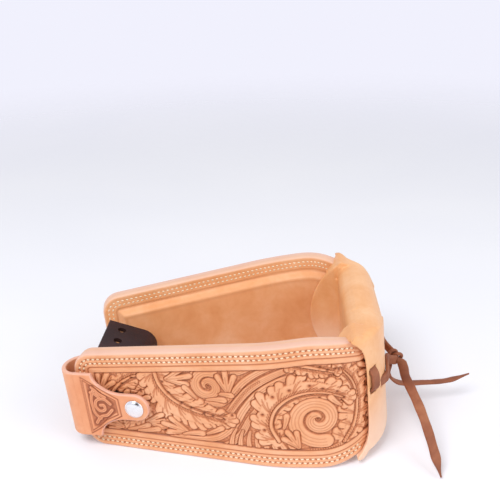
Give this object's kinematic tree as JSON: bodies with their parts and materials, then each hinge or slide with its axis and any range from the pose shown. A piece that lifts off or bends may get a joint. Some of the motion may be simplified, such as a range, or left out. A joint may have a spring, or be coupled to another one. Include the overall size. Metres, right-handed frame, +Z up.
{
  "type": "tooled leather stirrup",
  "caption": "Bell-shaped stirrup covered in tooled leather, with a laced leather tread, a bolt and roller at the neck lined by wear leather, and a snap-down strap over one arm.",
  "frame": {"origin": "bottom centre of the stirrup without the string's free tails, as it lies on one edge", "axes": "+X from the neck to the tread, +Y from the snap strap's arm to the other arm, +Z up from the edge that it lies on"},
  "size_m": [0.2765, 0.1504, 0.0909],
  "materials": {
    "tooled_leather": "carved and stamped, waxed",
    "plain_leather": "smooth, waxed",
    "tread_leather": "smooth, moulded wet",
    "dark_leather": "dyed, smooth",
    "string_leather": "supple latigo",
    "wood": "plain sawn",
    "steel": "zinc plated",
    "chrome": "polished"
  },
  "bodies": {
    "stirrup": {"frame_core": "wood", "tread_block": "wood", "near_cover": "tooled_leather", "far_cover": "tooled_leather", "near_lining": "plain_leather", "far_lining": "plain_leather", "tread_leather": "tread_leather", "string_stitch_near": "string_leather", "string_stitch_far": "string_leather", "string_run_near": "string_leather", "string_run_far": "string_leather", "string_knot": "string_leather", "string_tail_long": "string_leather", "string_tail_short": "string_leather", "stirrup_bolt": "steel", "head_washer": "steel", "nut_washer": "steel", "bolt_nut": "steel", "snap_strap": "plain_leather", "snap_stud": "steel", "stud_rivet": "steel"},
    "roller": {"roller": "steel"},
    "wear_leather": {"wear_leather_inner": "plain_leather", "wear_leather_outer": "dark_leather"},
    "flap": {"snap_flap": "plain_leather", "snap_cap": "chrome", "snap_socket": "steel"}
  },
  "joints": [
    {"name": "roller_spin", "type": "hinge", "parent": "stirrup", "child": "roller", "pos_m": [-0.0746, 0, 0.03588], "axis": [0, -1, 0], "continuous": true},
    {"name": "wear_leather_swing", "type": "hinge", "parent": "stirrup", "child": "wear_leather", "pos_m": [-0.0746, 0, 0.03588], "axis": [0, -1, 0], "range_deg": [-45, 45]},
    {"name": "snap_flap_hinge", "type": "hinge", "parent": "stirrup", "child": "flap", "pos_m": [-0.10173, -0.04889, 0.03393], "axis": [0.0717, 0, -0.9974], "range_deg": [0, 110]}
  ]
}
